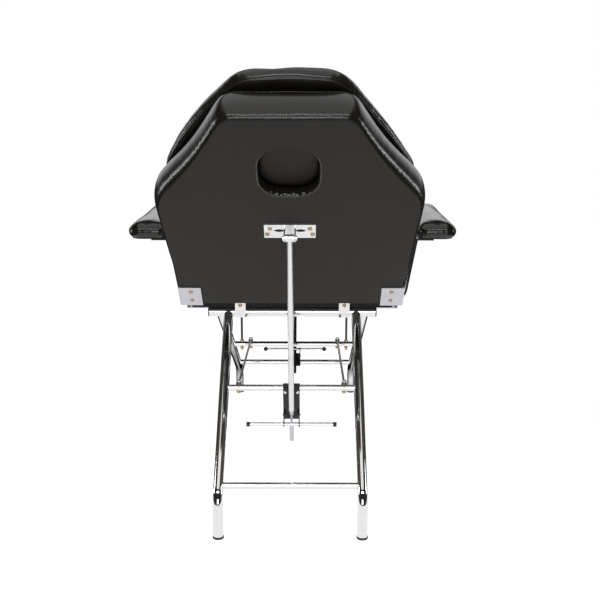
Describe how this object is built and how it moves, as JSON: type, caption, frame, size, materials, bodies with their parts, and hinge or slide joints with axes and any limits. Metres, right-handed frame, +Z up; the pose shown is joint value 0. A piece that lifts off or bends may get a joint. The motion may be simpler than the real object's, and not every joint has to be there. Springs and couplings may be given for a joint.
{
  "type": "tattoo chair",
  "caption": "Reclining tattoo chair: padded back with a face hole, seat and leg rest on a splayed chromed tube stand, with strut clutches and sliding armrests.",
  "frame": {"origin": "on the floor under the middle of the whole chair, midway between its sides and between its two ends", "axes": "+Z up; the sitter faces -Y, with the backrest towards +Y and the leg rest towards -Y; +X on the sitter's left"},
  "size_m": [0.8606, 1.5953, 1.0711],
  "materials": {
    "chrome_tube": "polished",
    "zinc_steel": "satin",
    "black_steel": "satin",
    "black_plastic": "satin",
    "covered_board": "matte",
    "matte_vinyl": "matte",
    "gloss_vinyl": "gloss"
  },
  "bodies": {
    "stand": {"ridge_tube": "chrome_tube", "tube_end_caps": "black_plastic", "rear_leg_left": "chrome_tube", "rear_leg_right": "chrome_tube", "front_leg_left": "chrome_tube", "front_leg_right": "chrome_tube", "rear_upper_stretcher": "chrome_tube", "rear_lower_stretcher": "chrome_tube", "front_upper_stretcher": "chrome_tube", "front_lower_stretcher": "chrome_tube", "tie_rods": "chrome_tube", "tie_rod_bolts": "zinc_steel", "frame_nuts": "zinc_steel", "seat_posts": "chrome_tube", "ridge_straps": "chrome_tube", "seat_screws": "zinc_steel", "seat_board": "covered_board", "seat_foam": "gloss_vinyl", "seat_pillow": "gloss_vinyl", "seat_hinge_plates": "zinc_steel", "hinge_bolts": "zinc_steel", "arm_sockets": "zinc_steel", "leg_hinge_seat_leaves": "zinc_steel", "leg_hinge_pins": "zinc_steel"},
    "backrest": {"back_board": "covered_board", "back_cover": "matte_vinyl", "hole_lining": "gloss_vinyl", "back_foam": "gloss_vinyl", "back_pillow": "gloss_vinyl", "back_hinge_plates": "zinc_steel", "back_screws": "zinc_steel", "back_strut_bracket": "zinc_steel", "back_bracket_pin": "zinc_steel"},
    "face_plug": {"face_plug": "gloss_vinyl"},
    "leg_rest": {"leg_board": "covered_board", "leg_foam": "gloss_vinyl", "leg_pillow": "gloss_vinyl", "leg_hinge_leaves": "zinc_steel", "leg_strut_bracket": "zinc_steel", "leg_rest_screws": "zinc_steel"},
    "back_strut": {"back_strut_tube": "zinc_steel", "back_strut_stem": "zinc_steel", "back_strut_sleeve": "zinc_steel"},
    "back_clutch": {"back_clutch_plate": "black_steel", "back_clutch_guide": "black_steel", "back_clutch_bolts": "zinc_steel"},
    "back_release": {"back_release_arms": "black_steel", "back_release_bar": "chrome_tube", "back_release_caps": "black_plastic"},
    "leg_strut": {"leg_strut": "black_steel"},
    "leg_clutch": {"leg_clutch_plate": "black_steel"},
    "leg_release": {"leg_release_arms": "black_steel", "leg_release_bar": "chrome_tube", "leg_release_caps": "black_plastic"},
    "arm_left": {"arm_tube_left": "chrome_tube", "arm_board_left": "covered_board", "arm_pad_left": "gloss_vinyl"},
    "arm_right": {"arm_tube_right": "chrome_tube", "arm_board_right": "covered_board", "arm_pad_right": "gloss_vinyl"}
  },
  "joints": [
    {"name": "recline", "type": "hinge", "parent": "stand", "child": "backrest", "pos_m": [0, 0.31841, 0.5753], "axis": [1, 0, 0], "range_deg": [-50, 20]},
    {"name": "face_plug_slide", "type": "slide", "parent": "backrest", "child": "face_plug", "axis": [0, -0.766, 0.6428], "range_m": [0, 0.12]},
    {"name": "back_clutch_swivel", "type": "hinge", "parent": "stand", "child": "back_clutch", "pos_m": [0, 0.43366, 0.296], "axis": [1, 0, 0], "range_deg": [-26, 10.6]},
    {"name": "back_strut_hinge", "type": "hinge", "parent": "backrest", "child": "back_strut", "pos_m": [0, 0.6154, 0.70988], "axis": [1, 0, 0], "range_deg": [-10.1, 24.8]},
    {"name": "back_release_rock", "type": "hinge", "parent": "back_clutch", "child": "back_release", "pos_m": [0, 0.42978, 0.22261], "axis": [1, 0, 0], "range_deg": [0, 18], "stiffness_Nm_per_rad": 0.6, "springref_deg": -14.32},
    {"name": "leg_rest_drop", "type": "hinge", "parent": "stand", "child": "leg_rest", "pos_m": [0, -0.23159, 0.4603], "axis": [1, 0, 0], "range_deg": [0, 50]},
    {"name": "leg_clutch_swivel", "type": "hinge", "parent": "stand", "child": "leg_clutch", "pos_m": [0, -0.29502, 0.135], "axis": [1, 0, 0], "range_deg": [-0.2, 25]},
    {"name": "leg_strut_hinge", "type": "hinge", "parent": "leg_rest", "child": "leg_strut", "pos_m": [0, -0.54159, 0.4353], "axis": [1, 0, 0], "range_deg": [-25.6, 0.2]},
    {"name": "leg_release_rock", "type": "hinge", "parent": "leg_clutch", "child": "leg_release", "pos_m": [0, -0.28662, 0.15898], "axis": [1, 0, 0], "range_deg": [-18, 0], "stiffness_Nm_per_rad": 0.5, "springref_deg": 14.32},
    {"name": "arm_left_slide", "type": "slide", "parent": "stand", "child": "arm_left", "axis": [1, 0, 0], "range_m": [0, 0.06]},
    {"name": "arm_right_slide", "type": "slide", "parent": "stand", "child": "arm_right", "axis": [-1, 0, 0], "range_m": [0, 0.06]}
  ],
  "couplings": [
    {"joint": "back_clutch_swivel", "follows": "recline", "ratio": 0.5124},
    {"joint": "back_strut_hinge", "follows": "recline", "ratio": -0.4876},
    {"joint": "leg_clutch_swivel", "follows": "leg_rest_drop", "ratio": 0.4942},
    {"joint": "leg_strut_hinge", "follows": "leg_rest_drop", "ratio": -0.5058}
  ]
}
